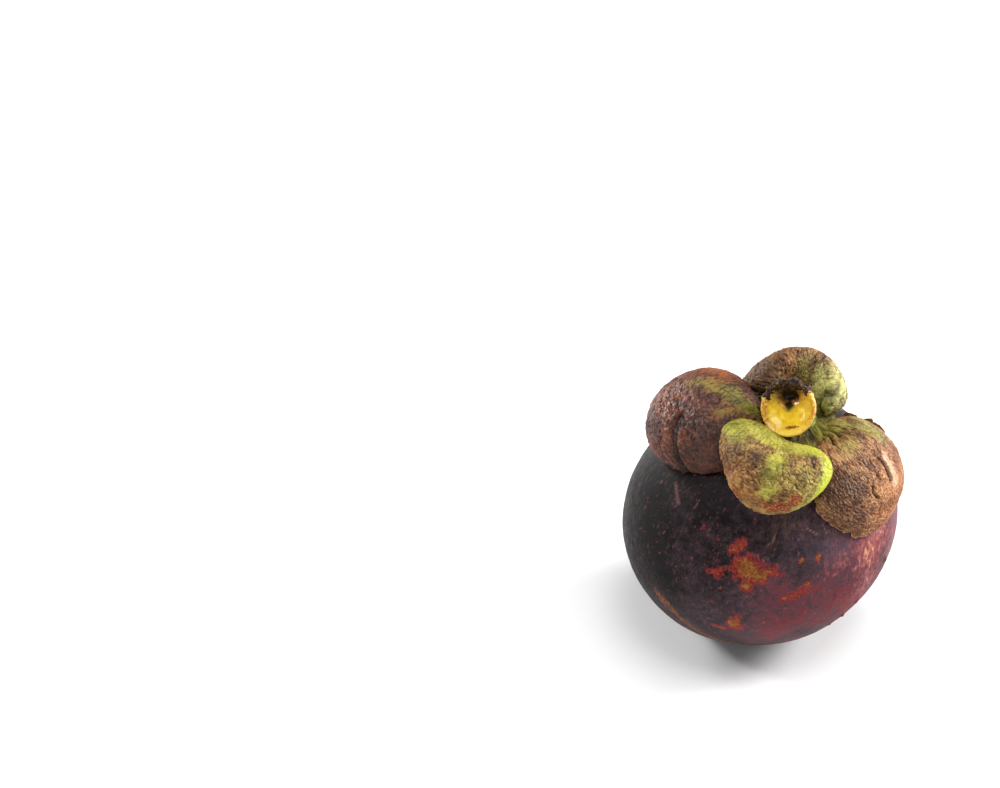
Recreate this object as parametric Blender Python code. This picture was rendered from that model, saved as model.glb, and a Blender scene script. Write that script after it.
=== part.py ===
"""A whole mangosteen resting on a small flat spot, stem leaning a little to the right.

Seven closed solids, in metres, +Z up, the floor at Z = 0 and the middle of the flat
spot at the origin:

    rind            the round fruit, with a shallow well under the stem and another
                    under the stigma
    sepal_left      outer pair of sepals: low domes lying close on the shoulder
    sepal_right
    sepal_front     inner pair: puffed cushions whose sides lie over the outer pair
    sepal_back
    stem            the cut pedicel, flared to a cupped end that leans forward
    stigma_rosette  the woody lobed scar at the blossom end
"""

import math

import bmesh
import bpy
from mathutils import Matrix, Vector

MM = 0.001

# ---------------------------------------------------------------- driving dimensions

EQUATOR_RADIUS = 29.4 * MM          # rind, across the stem axis
POLE_RADIUS = 27.0 * MM             # rind, along the stem axis
STRETCH = 0.09                      # the fruit is a little longer along one slant
STRETCH_ALONG = Vector((0.740, 0.198, 0.643))
FRUIT_CENTRE = Vector((1.5 * MM, 0.9 * MM, 27.5 * MM))
STEM_AXIS = Vector((0.200, -0.050, 0.978))       # from the fruit's middle to the stem
APEX_AXIS = Vector((-0.500, 0.060, -0.864))      # from the middle to the blossom end
STEM_WELL = (1.2 * MM, 9.0 * MM)    # depth and radius of the hollow at the stem
APEX_WELL = (0.9 * MM, 8.0 * MM)    # the same at the blossom end
SEGMENT_RIDGE = 0.004               # faint ridges over the fruit's inner segments
SEGMENTS = 6

CHART_RADIUS = 28.5 * MM            # arc length on the shoulder per radian from the axis
GAP = 0.35 * MM                     # clearance between a piece and its seat

STEM_FOOT = (-0.6, 1.6)             # millimetres right and back of the stem axis
STEM_FOOT_RADIUS = 5.8 * MM
STEM_NECK_RADIUS = 4.5 * MM
STEM_END_RADIUS = 6.2 * MM
STEM_HEIGHT = 8.5 * MM
STEM_CUP_DEPTH = 2.0 * MM
STEM_RISES = Vector((-0.12, -0.32, 0.94))        # the way it leaves the fruit
STEM_FACES = Vector((-0.38, -0.72, 0.58))        # the way its cut end faces

ROSETTE_RADIUS = 5.4 * MM
ROSETTE_THICKNESS = 0.9 * MM
ROSETTE_LOBES = 6

# Each sepal is a shell in polar coordinates round the stem: bearing in degrees
# (0 = right, 90 = back), inner and outer reach and half width in millimetres.
#   wrap    how far the sides follow the circle round the stem, 0 to 1
#   taper   wider at the outer end (+) or the inner end (-)
#   bias    narrower on its counter-clockwise side (+) or the other (-)
#   square  2 is an ellipse, more is squarer
#   wave    small swellings of the outline, two-sided and three-sided
#   full    under 1 makes the dome boxier
#   notch   how far the dome dips in the middle of the stem side
#   puff    height of the dome; skew moves its top toward the stem (+), lean to its left (+)
#   edge    height of the rim over the rind: outer end, left side, right side, inner end
#   roll    degrees by which the rim turns under
SEPALS = {
    "sepal_left": dict(
        bearing=173.3, inner=7.5, outer=30.4, half_width=14.1, bias=-0.06, wrap=1.0, taper=-0.14, square=2.05,
        wave=(-0.07, 0.02), puff=8.1, skew=-0.34, lean=-0.40, notch=0.0, full=0.90,
        edge=(0.5, 0.5, 0.5, 0.5), roll=8.0, thick=1.2,
    ),
    "sepal_right": dict(
        bearing=-20.2, inner=5.5, outer=29.7, half_width=15.9, bias=0.13, wrap=1.0, taper=-0.24, square=2.70,
        wave=(-0.02, -0.03), puff=4.1, skew=0.02, lean=0.22, notch=0.0, full=0.90,
        edge=(0.5, 0.5, 0.5, 0.5), roll=4.0, thick=1.2,
    ),
    "sepal_front": dict(
        bearing=248.9, inner=6.35, outer=22.9, half_width=11.8, bias=0.07, wrap=0.90, taper=-0.27, square=1.90,
        wave=(0.06, 0.07), puff=5.3, skew=-0.18, lean=0.26, notch=0.90, full=0.75,
        edge=(0.5, 4.0, 5.5, 0.5), roll=32.0, thick=1.3,
    ),
    "sepal_back": dict(
        bearing=89.4, inner=7.4, outer=19.6, half_width=11.5, bias=0.08, wrap=1.37, taper=-0.02, square=2.25,
        wave=(0.07, 0.02), puff=8.7, skew=0.65, lean=-0.09, notch=0.10, full=0.85,
        edge=(1.5, 5.0, 2.0, 0.5), roll=25.0, thick=1.3,
    ),
}

# ---------------------------------------------------------------- shared geometry

UP = STEM_AXIS.normalized()
RIGHT = Vector((0.0, 1.0, 0.0)).cross(UP).normalized()
BACK = UP.cross(RIGHT)
TURN = Matrix((RIGHT, BACK, UP)).transposed()
SLANT = STRETCH_ALONG.normalized()
APEX_LOCAL = (TURN.transposed() @ APEX_AXIS).normalized()


def well(angle, depth, radius):
    """How far a soft round hollow lowers the rind, as a share of its radius."""
    spread = radius / CHART_RADIUS
    return depth / CHART_RADIUS * math.exp(-((angle / spread) ** 2))


def rind_point(direction):
    """The rind's surface in world space, for a unit vector in the stem's own axes."""
    n = direction
    from_stem = math.acos(max(-1.0, min(1.0, n.z)))
    from_apex = math.acos(max(-1.0, min(1.0, n.dot(APEX_LOCAL))))
    turn = math.atan2(n.y, n.x)
    size = 1.0 - well(from_stem, *STEM_WELL) - well(from_apex, *APEX_WELL)
    size += SEGMENT_RIDGE * math.cos(SEGMENTS * turn) * math.sin(from_stem) ** 3
    p = Vector((EQUATOR_RADIUS * n.x, EQUATOR_RADIUS * n.y, POLE_RADIUS * n.z)) * size
    p = TURN @ p
    p += SLANT * (STRETCH * p.dot(SLANT))
    return p + FRUIT_CENTRE


def rind_normal(direction):
    """The outward direction of the smooth body under rind_point."""
    n = direction
    g = Vector((n.x / EQUATOR_RADIUS, n.y / EQUATOR_RADIUS, n.z / POLE_RADIUS))
    g = TURN @ g
    g -= SLANT * (g.dot(SLANT) * STRETCH / (1.0 + STRETCH))
    return g.normalized()


def over_rind(x, y, height):
    """A point at arc coordinates (x right, y back) round the stem, over the rind."""
    reach = math.hypot(x, y)
    turn = math.atan2(y, x)
    angle = reach / CHART_RADIUS
    side = math.sin(angle)
    n = Vector((side * math.cos(turn), side * math.sin(turn), math.cos(angle)))
    return rind_point(n) + rind_normal(n) * height


def sepal_point(s, rho, theta, under):
    """A point of a sepal's shell: rho 0 at its middle to 1 at its rim, theta 0 at its
    outer end, and under 1 on its lower face."""
    turn = math.radians(90.0 + s["roll"])
    bend = rho * turn
    reach = math.sin(bend) ** s["full"]
    rise = (math.cos(bend) - math.cos(turn)) / (1.0 - math.cos(turn))
    c, d = math.cos(theta), math.sin(theta)
    power = s["square"]
    round_off = (abs(c) ** power + abs(d) ** power) ** (-1.0 / power)
    round_off *= 1.0 + s["wave"][0] * math.sin(2.0 * theta) + s["wave"][1] * math.cos(3.0 * theta)
    half_length = (s["outer"] - s["inner"]) / 2.0
    middle = (s["outer"] + s["inner"]) / 2.0
    thin = s["thick"] * math.sqrt(max(0.0, 1.0 - rho ** 6)) * under
    extent = math.hypot(half_length * c, s["half_width"] * d) * round_off
    reach = max(0.0, reach - thin * math.sin(bend) / extent)
    q = reach * c * round_off
    p = reach * d * round_off
    p *= 1.0 - s["bias"] * p
    along = middle + half_length * q
    across = s["half_width"] * p * (1.0 + s["taper"] * q)
    outer_edge, left_edge, right_edge, inner_edge = s["edge"]
    end_edge = outer_edge if c > 0.0 else inner_edge
    side_edge = left_edge if d > 0.0 else right_edge
    rim = end_edge * c * c + side_edge * d * d
    rim = rim * rho ** 2 + (1.0 - rho ** 2) * sum(s["edge"]) / 4.0
    dip = s["notch"] * max(0.0, -q) * math.exp(-((p / 0.55) ** 2))
    height = rim + s["puff"] * (1.0 - dip) * rise * (1.0 - s["skew"] * q + s["lean"] * p) - thin * math.cos(bend)
    swing = s["wrap"] * across / middle
    x = along * math.cos(swing)
    y = along * math.sin(swing) + (1.0 - s["wrap"]) * across
    heading = math.radians(s["bearing"])
    chart_x = x * math.cos(heading) - y * math.sin(heading)
    chart_y = x * math.sin(heading) + y * math.cos(heading)
    return over_rind(chart_x * MM, chart_y * MM, height * MM)


# ---------------------------------------------------------------- building helpers


def material(name, colour, roughness):
    mat = bpy.data.materials.new(name)
    mat.use_nodes = True
    shader = mat.node_tree.nodes["Principled BSDF"]
    shader.inputs["Base Color"].default_value = (*colour, 1.0)
    shader.inputs["Roughness"].default_value = roughness
    shader.inputs["Metallic"].default_value = 0.0
    mat.diffuse_color = (*colour, 1.0)
    return mat


def add_object(name, bm, mat, collection):
    bmesh.ops.recalc_face_normals(bm, faces=bm.faces[:])
    mesh = bpy.data.meshes.new(name)
    bm.to_mesh(mesh)
    bm.free()
    mesh.shade_smooth()
    mesh.set_sharp_from_angle(angle=math.radians(50.0))
    mesh.materials.append(mat)
    obj = bpy.data.objects.new(name, mesh)
    collection.objects.link(obj)
    return obj


def build_rind():
    """A sphere shaped into the fruit and cut level where it rests."""
    bm = bmesh.new()
    bmesh.ops.create_uvsphere(bm, u_segments=56, v_segments=34, radius=1.0)
    for v in bm.verts:
        v.co = rind_point(v.co.normalized())
    geometry = bm.verts[:] + bm.edges[:] + bm.faces[:]
    cut = bmesh.ops.bisect_plane(
        bm, geom=geometry, dist=1e-6, plane_co=(0.0, 0.0, 0.0), plane_no=(0.0, 0.0, -1.0), clear_outer=True
    )
    rim = [g for g in cut["geom_cut"] if isinstance(g, bmesh.types.BMEdge)]
    bmesh.ops.contextual_create(bm, geom=rim)
    return bm


def build_sepal(s):
    """A sphere whose upper half becomes the sepal's outer face and whose lower half
    folds up inside it as the under face."""
    bm = bmesh.new()
    bmesh.ops.create_uvsphere(bm, u_segments=36, v_segments=20, radius=1.0)
    for v in bm.verts:
        n = v.co.normalized()
        polar = math.acos(max(-1.0, min(1.0, n.z)))
        under = 1.0 if polar > math.pi / 2.0 + 1e-4 else 0.0
        rho = (math.pi - polar if under else polar) / (math.pi / 2.0)
        theta = math.atan2(n.y, n.x)
        v.co = sepal_point(s, min(rho, 1.0), theta, under)
    return bm


def build_stem():
    """A turned profile, its upper part bent over toward the front."""
    end, neck, foot = STEM_END_RADIUS, STEM_NECK_RADIUS, STEM_FOOT_RADIUS
    top, cup = STEM_HEIGHT, STEM_CUP_DEPTH
    profile = [
        (0.0, 0.0),
        (0.60 * foot, 0.0),
        (0.95 * foot, 0.0),
        (1.00 * foot, 0.03 * top),
        (0.96 * foot, 0.07 * top),
        (0.86 * foot, 0.12 * top),
        (1.00 * neck, 0.24 * top),
        (0.97 * neck, 0.38 * top),
        (1.03 * neck, 0.54 * top),
        (0.92 * end, 0.72 * top),
        (1.00 * end, 0.86 * top),
        (0.99 * end, 0.95 * top),
        (0.93 * end, 1.00 * top),
        (0.84 * end, top - 0.10 * cup),
        (0.70 * end, top - 0.42 * cup),
        (0.46 * end, top - 0.80 * cup),
        (0.22 * end, top - cup),
        (0.0, top - cup),
    ]
    bm = bmesh.new()
    verts = [bm.verts.new((r, 0.0, z)) for r, z in profile]
    edges = [bm.edges.new(pair) for pair in zip(verts, verts[1:])]
    bmesh.ops.spin(bm, geom=verts + edges, angle=math.tau, steps=36, axis=(0.0, 0.0, 1.0), cent=(0.0, 0.0, 0.0))
    bmesh.ops.remove_doubles(bm, verts=bm.verts[:], dist=1e-6)
    base = over_rind(STEM_FOOT[0] * MM, STEM_FOOT[1] * MM, GAP + 0.1 * MM)
    rises, faces = STEM_RISES.normalized(), STEM_FACES.normalized()
    for v in bm.verts:
        share = v.co.z / top
        heading = rises.lerp(faces, share).normalized()
        spine = (rises * share + (faces - rises) * share * share / 2.0) * top
        turned = UP.rotation_difference(UP.lerp(heading, min(1.0, share / 0.35)).normalized())
        v.co = base + spine + turned @ (TURN @ Vector((v.co.x, v.co.y, 0.0)))
    return bm


def build_rosette():
    """A flattened sphere with one lobe for each inner segment, lying in its well."""
    bm = bmesh.new()
    bmesh.ops.create_uvsphere(bm, u_segments=36, v_segments=12, radius=1.0)
    side = APEX_LOCAL.cross(Vector((0.0, 1.0, 0.0))).normalized()
    other = APEX_LOCAL.cross(side)
    for v in bm.verts:
        n = v.co.normalized()
        turn = math.atan2(n.y, n.x)
        flat = math.hypot(n.x, n.y)
        lobed = 0.78 + 0.22 * math.sqrt(abs(math.cos(ROSETTE_LOBES * turn / 2.0)))
        reach = ROSETTE_RADIUS * lobed * flat / CHART_RADIUS
        direction = APEX_LOCAL + (side * math.cos(turn) + other * math.sin(turn)) * math.tan(reach)
        direction.normalize()
        height = GAP + ROSETTE_THICKNESS * 0.5 * (1.0 + n.z)
        v.co = rind_point(direction) + rind_normal(direction) * height
    return bm


# ---------------------------------------------------------------- the fruit


def main():
    for obj in list(bpy.data.objects):
        bpy.data.objects.remove(obj, do_unlink=True)
    collection = bpy.data.collections.new("mangosteen")
    bpy.context.scene.collection.children.link(collection)

    rind_skin = material("rind_skin", (0.030, 0.010, 0.013), 0.42)
    outer_leaf = material("sepal_outer_leaf", (0.150, 0.075, 0.030), 0.55)
    inner_leaf = material("sepal_inner_leaf", (0.200, 0.190, 0.045), 0.55)
    stem_cut = material("stem_cut", (0.420, 0.290, 0.030), 0.45)
    scar_wood = material("stigma_wood", (0.090, 0.045, 0.025), 0.80)

    add_object("rind", build_rind(), rind_skin, collection)
    for name, numbers in SEPALS.items():
        leaf = outer_leaf if name in ("sepal_left", "sepal_right") else inner_leaf
        add_object(name, build_sepal(numbers), leaf, collection)
    add_object("stem", build_stem(), stem_cut, collection)
    add_object("stigma_rosette", build_rosette(), scar_wood, collection)


main()
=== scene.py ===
"""Mangosteen: dresses the plain solids of one whole fruit with its skin, cork and leaf.

The fruit stands on a small flat spot at the origin, +Z up, in metres.  Arc coordinates
(x right, y back, in millimetres round the stem axis) place the calyx on the shoulder.
"""
import math

import bpy
import numpy as np
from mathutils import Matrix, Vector, noise


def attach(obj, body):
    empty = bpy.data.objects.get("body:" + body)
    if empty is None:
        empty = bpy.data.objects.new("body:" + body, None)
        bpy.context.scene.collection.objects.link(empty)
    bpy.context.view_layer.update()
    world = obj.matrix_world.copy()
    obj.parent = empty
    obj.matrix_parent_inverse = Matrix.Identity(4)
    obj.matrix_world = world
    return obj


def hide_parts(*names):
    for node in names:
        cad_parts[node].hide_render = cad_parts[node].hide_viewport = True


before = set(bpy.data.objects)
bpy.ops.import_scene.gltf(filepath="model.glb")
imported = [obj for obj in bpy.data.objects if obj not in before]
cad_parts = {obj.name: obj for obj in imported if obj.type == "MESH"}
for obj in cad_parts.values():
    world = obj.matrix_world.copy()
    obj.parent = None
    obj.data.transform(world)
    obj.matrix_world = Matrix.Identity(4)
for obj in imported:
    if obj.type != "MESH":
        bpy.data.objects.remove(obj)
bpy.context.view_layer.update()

bl_info = {
    "name": "Mangosteen",
    "version": (1, 0, 0),
    "blender": (4, 5, 0),
    "location": "View3D > Sidebar > Mangosteen",
    "description": "Models a whole mangosteen, with its calyx and cut stem, over its CAD frame",
    "category": "Add Mesh",
}

MM = 0.001
MULTIPLY_ADD = {"operation": "MULTIPLY_ADD"}
COLOUR_MIX = {"data_type": "RGBA"}

# ---------------------------------------------------------------- the fruit's own sizes

EQUATOR_RADIUS = 29.4 * MM
POLE_RADIUS = 27.0 * MM
STRETCH = 0.09
SLANT = np.array(Vector((0.740, 0.198, 0.643)).normalized())
FRUIT_CENTRE = np.array((1.5, 0.9, 27.5)) * MM
UP = Vector((0.200, -0.050, 0.978)).normalized()
RIGHT = Vector((0.0, 1.0, 0.0)).cross(UP).normalized()
BACK = UP.cross(RIGHT)
TURN = np.array((RIGHT, BACK, UP)).T            # from the stem's own axes to the world's
APEX = np.array(Vector((-0.500, 0.060, -0.864)).normalized()) @ TURN
STEM_WELL = (1.2 * MM, 9.0 * MM)
APEX_WELL = (0.9 * MM, 8.0 * MM)
SEGMENT_RIDGE = 0.004
SEGMENTS = 6
CHART_RADIUS = 28.5 * MM
SKIN_RADIUS = 29.0                              # millimetres, for marks on the rind

STEM_FOOT = (-0.6, 1.6)
STEM_HEIGHT = 8.5
STEM_RISES = Vector((-0.12, -0.32, 0.94)).normalized()
STEM_FACES = Vector((-0.38, -0.72, 0.58)).normalized()

CAMERA_PLACE = (-56.92 * MM, -475.29 * MM, 434.15 * MM)
CAMERA_TILT = math.radians(52.0)                # up from looking straight down
LIGHTS_AIM_AT = Vector((0.0, 0.0, 0.03))        # the fruit's middle

# Each sepal is a shell in polar coordinates round the stem: bearing in degrees
# (0 = right, 90 = back), reaches, widths and heights in millimetres.  edge is the rim's
# height at the outer end, the two sides and the inner end.
SEPALS = {
    "sepal_left": dict(
        bearing=173.3, inner=6.4, outer=30.4, half_width=14.1, bias=-0.06, wrap=1.0, taper=-0.14,
        square=2.05,
        wave=(-0.07, 0.02), puff=8.1, skew=-0.34, lean=-0.40, notch=0.0, full=0.90,
        edge=(0.5, 0.5, 0.5, 0.5), roll=6.0, thick=1.2,
    ),
    "sepal_right": dict(
        bearing=-20.2, inner=5.5, outer=30.3, half_width=15.9, bias=0.13, wrap=1.0, taper=-0.24,
        square=2.70,
        nicks=(
            (-46.0, 0.06, 2.5), (-58.0, 0.03, 9.0), (-33.0, -0.03, 9.0), (-12.0, 0.03, 3.0),
            (5.0, 0.02, 2.5),
        ),
        wave=(-0.02, -0.03), puff=4.1, skew=0.02, lean=0.22, notch=0.0, full=0.90,
        edge=(0.5, 0.5, 0.5, 0.5), roll=-7.0, thick=1.2,
    ),
    "sepal_front": dict(
        bearing=248.9, inner=6.35, outer=22.9, half_width=11.8, bias=0.07, wrap=0.90, taper=-0.27,
        square=1.90,
        wave=(0.06, 0.07), puff=5.3, skew=-0.18, lean=0.26, notch=0.90, full=0.75,
        edge=(0.5, 4.0, 5.5, 0.5), roll=32.0, thick=1.3,
    ),
    "sepal_back": dict(
        bearing=89.4, inner=7.4, outer=19.6, half_width=11.5, bias=0.08, wrap=1.46, taper=-0.02,
        square=2.25,
        wave=(0.07, 0.02), puff=8.7, skew=0.65, lean=-0.09, notch=0.10, full=0.85,
        edge=(1.5, 3.2, 1.0, 0.5), roll=25.0, thick=1.3,
    ),
}


def linear(code):
    """Linear RGBA from an sRGB hex colour."""
    values = [int(code[i:i + 2], 16) / 255.0 for i in (1, 3, 5)]
    return (*[v / 12.92 if v <= 0.04045 else ((v + 0.055) / 1.055) ** 2.4 for v in values], 1.0)


# ---------------------------------------------------------------- shape rules, on arrays


def ease(low, high, values):
    """0 below low, 1 above high, and a smooth step between."""
    t = np.clip((values - low) / (high - low), 0.0, 1.0)
    return t * t * (3.0 - 2.0 * t)


def unit(vectors):
    return vectors / np.linalg.norm(vectors, axis=1, keepdims=True)


def well(angle, depth, radius):
    return depth / CHART_RADIUS * np.exp(-((angle * CHART_RADIUS / radius) ** 2))


def rind_points(n):
    """The rind's surface for unit vectors in the stem's own axes."""
    from_stem = np.arccos(np.clip(n[:, 2], -1.0, 1.0))
    from_apex = np.arccos(np.clip(n @ APEX, -1.0, 1.0))
    turn = np.arctan2(n[:, 1], n[:, 0])
    size = 1.0 - well(from_stem, *STEM_WELL) - well(from_apex, *APEX_WELL)
    size += SEGMENT_RIDGE * np.cos(SEGMENTS * turn) * np.sin(from_stem) ** 3
    p = n * (EQUATOR_RADIUS, EQUATOR_RADIUS, POLE_RADIUS) * size[:, None]
    p = p @ TURN.T
    p += np.outer(p @ SLANT, SLANT) * STRETCH
    return p + FRUIT_CENTRE


def rind_normals(n):
    g = (n / (EQUATOR_RADIUS, EQUATOR_RADIUS, POLE_RADIUS)) @ TURN.T
    g -= np.outer(g @ SLANT, SLANT) * (STRETCH / (1.0 + STRETCH))
    return unit(g)


def over_rind(x, y, height):
    """Points at arc coordinates x, y round the stem, height over the rind, all in millimetres."""
    angle = np.hypot(x, y) * MM / CHART_RADIUS
    turn = np.arctan2(y, x)
    side = np.sin(angle)
    n = np.stack((side * np.cos(turn), side * np.sin(turn), np.cos(angle)), axis=1)
    return rind_points(n) + rind_normals(n) * (height * MM)[:, None]


def sepal_shape(s, rho, theta, under):
    """A sepal's shell, with q along it and p across it from -1 to 1, and the same in millimetres."""
    turn = math.radians(90.0 + s["roll"])
    bend = rho * turn
    reach = np.sin(bend) ** s["full"]
    rise = (np.cos(bend) - math.cos(turn)) / (1.0 - math.cos(turn))
    c, d = np.cos(theta), np.sin(theta)
    power = s["square"]
    round_off = (np.abs(c) ** power + np.abs(d) ** power) ** (-1.0 / power)
    round_off *= 1.0 + s["wave"][0] * np.sin(2.0 * theta) + s["wave"][1] * np.cos(3.0 * theta)
    ragged = 0.007 * np.sin(13.0 * theta + s["bearing"]) + 0.006 * np.sin(23.0 * theta)
    ragged += 0.004 * np.sin(41.0 * theta)
    for place_at, depth, width in s.get("nicks", ()):
        gap = (np.degrees(theta) - place_at + 180.0) % 360.0 - 180.0
        ragged = ragged - depth * np.exp(-((gap / width) ** 2))
    round_off *= 1.0 + ragged * ease(0.6, 1.0, rho)
    half_length = (s["outer"] - s["inner"]) / 2.0
    middle = (s["outer"] + s["inner"]) / 2.0
    thin = s["thick"] * np.sqrt(np.clip(1.0 - rho ** 6, 0.0, 1.0)) * under
    extent = np.hypot(half_length * c, s["half_width"] * d) * round_off
    reach = np.maximum(0.0, reach - thin * np.sin(bend) / extent)
    q = reach * c * round_off
    p = reach * d * round_off
    p = p * (1.0 - s["bias"] * p)
    along = middle + half_length * q
    across = s["half_width"] * p * (1.0 + s["taper"] * q)
    outer_edge, left_edge, right_edge, inner_edge = s["edge"]
    rim = np.where(
        c > 0.0, outer_edge, inner_edge
    ) * c * c + np.where(d > 0.0, left_edge, right_edge) * d * d
    rim = rim * rho ** 2 + (1.0 - rho ** 2) * sum(s["edge"]) / 4.0
    dip = s["notch"] * np.maximum(0.0, -q) * np.exp(-((p / 0.55) ** 2))
    height = rim + s["puff"] * (1.0 - dip) * rise * (
        1.0 - s["skew"] * q + s["lean"] * p
    ) - thin * np.cos(bend)
    swing = s["wrap"] * across / middle
    x = along * np.cos(swing)
    y = along * np.sin(swing) + (1.0 - s["wrap"]) * across
    heading = math.radians(s["bearing"])
    chart_x = x * math.cos(heading) - y * math.sin(heading)
    chart_y = x * math.sin(heading) + y * math.cos(heading)
    return over_rind(chart_x, chart_y, height), q, p, along, across


def speckle(points, size, octaves=3, rough=0.8, seed=0.0):
    """Soft noise from about -1 to 1 over points in millimetres, its largest lumps about size across."""
    shift = Vector((seed, 1.7 * seed, -0.9 * seed))
    scaled = points / size
    return np.array([noise.fractal(Vector(v) + shift, rough, 2.0, octaves) for v in scaled])


def pebbles(points, seed=0.0):
    """Rounded pebbles with thin creases between, from 0 in a crease to 1, about one to a unit."""
    # noise_vector starts from the clock unless it is given a seed
    noise.seed_set(4)
    shift = Vector((seed, 1.3 * seed, -0.7 * seed))
    gaps = np.empty(len(points))
    for i, v in enumerate(points):
        spot = Vector(v) + shift
        away = noise.voronoi(spot + noise.noise_vector(spot * 0.9) * 0.45)[0]
        gaps[i] = away[1] - away[0]
    return np.clip(gaps / 0.42, 0.0, 1.0) ** 0.6


def near(values, at, size, turn=0.0):
    """1 at a mark's middle falling to 0 past its half length and half width, the two in size."""
    a, b = values[0] - at[0], values[1] - at[1]
    c, s = math.cos(math.radians(turn)), math.sin(math.radians(turn))
    u, v = (a * c + b * s) / size[0], (b * c - a * s) / size[1]
    return np.exp(-(u * u + v * v))


def along_line(values, route, width):
    """1 on a route of points falling to 0 at about its width."""
    best = np.full(len(values[0]), 1e9)
    for (ax, ay), (bx, by) in zip(route, route[1:]):
        dx, dy = bx - ax, by - ay
        t = np.clip(((values[0] - ax) * dx + (values[1] - ay) * dy) / (dx * dx + dy * dy), 0.0, 1.0)
        best = np.minimum(best, np.hypot(values[0] - ax - t * dx, values[1] - ay - t * dy))
    return np.exp(-((best / width) ** 2))


# ---------------------------------------------------------------- mesh helpers


def start_sphere(name, segments, rings):
    """A closed sphere of radius 1 at the origin, rolled up from a grid and alone in the
    selection, as an object, its points, and each point's angle from +Z and turn round it."""
    bpy.ops.object.select_all(action="DESELECT")
    bpy.ops.mesh.primitive_grid_add(
        x_subdivisions=segments, y_subdivisions=rings, size=2.0, location=(0.0, 0.0, 0.0), calc_uvs=False
    )
    obj = bpy.context.object
    obj.name = name
    obj.data.name = name
    flat = points_of(obj)
    turn, polar = flat[:, 0] * math.pi, (1.0 - flat[:, 1]) * math.pi / 2.0
    place(
        obj, np.stack((np.sin(polar) * np.cos(turn), np.sin(polar) * np.sin(turn), np.cos(polar)), axis=1)
    )
    bpy.ops.object.mode_set(mode="EDIT")
    bpy.ops.mesh.select_all(action="SELECT")
    bpy.ops.mesh.remove_doubles(threshold=2e-5)
    bpy.ops.object.mode_set(mode="OBJECT")
    points = unit(points_of(obj))
    polar = np.arccos(np.clip(points[:, 2], -1.0, 1.0))
    turn = np.arctan2(points[:, 1], points[:, 0])
    return obj, points, polar, turn


def points_of(obj):
    values = np.empty(len(obj.data.vertices) * 3, dtype=np.float32)
    obj.data.vertices.foreach_get("co", values)
    return values.reshape(-1, 3).astype(float)


def place(obj, points):
    obj.data.vertices.foreach_set("co", np.asarray(points, dtype=np.float32).ravel())
    obj.data.update()


def normals_of(obj):
    values = np.empty(len(obj.data.vertices) * 3, dtype=np.float32)
    obj.data.vertex_normals.foreach_get("vector", values)
    return values.reshape(-1, 3).astype(float)


def keep_field(obj, name, values):
    """Stores one number a vertex for the materials to read."""
    field = obj.data.attributes.new(name, "FLOAT", "POINT")
    field.data.foreach_set("value", np.asarray(values, dtype=np.float32))


def keep_vector(obj, name, values):
    field = obj.data.attributes.new(name, "FLOAT_VECTOR", "POINT")
    field.data.foreach_set("vector", np.asarray(values, dtype=np.float32).ravel())


def finish_piece(obj, material, node=None, angle=60.0):
    bpy.ops.object.select_all(action="DESELECT")
    obj.select_set(True)
    bpy.context.view_layer.objects.active = obj
    bpy.ops.object.shade_smooth_by_angle(angle=math.radians(angle))
    obj.data.materials.clear()
    obj.data.materials.append(material)
    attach(obj, "root")
    if node:
        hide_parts(node)


# ---------------------------------------------------------------- material helpers


def add_node(tree, kind, settings=None, inputs=None, stops=(), output=0):
    """Adds one node, gives it its settings, fills or links its inputs, and returns one of its outputs."""
    new = tree.nodes.new("ShaderNode" + kind)
    for name, value in (settings or {}).items():
        setattr(new, name, value)
    for key, value in (inputs or {}).items():
        if isinstance(value, bpy.types.NodeSocket):
            tree.links.new(value, new.inputs[key])
        else:
            new.inputs[key].default_value = value
    if stops:
        ramp = new.color_ramp
        while len(ramp.elements) < len(stops):
            ramp.elements.new(0.5)
        for element, (position, colour) in zip(ramp.elements, stops):
            element.position = position
            element.color = linear(colour) if isinstance(colour, str) else colour
    return new.outputs[output] if new.outputs else new


def per_mm(size):
    """A texture scale whose pattern is about size millimetres across, on coordinates in metres."""
    return 1000.0 / size


def new_material(name):
    material = bpy.data.materials.new(name)
    material.use_nodes = True
    tree = material.node_tree
    for old in list(tree.nodes):
        tree.nodes.remove(old)
    return material, tree


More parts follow.
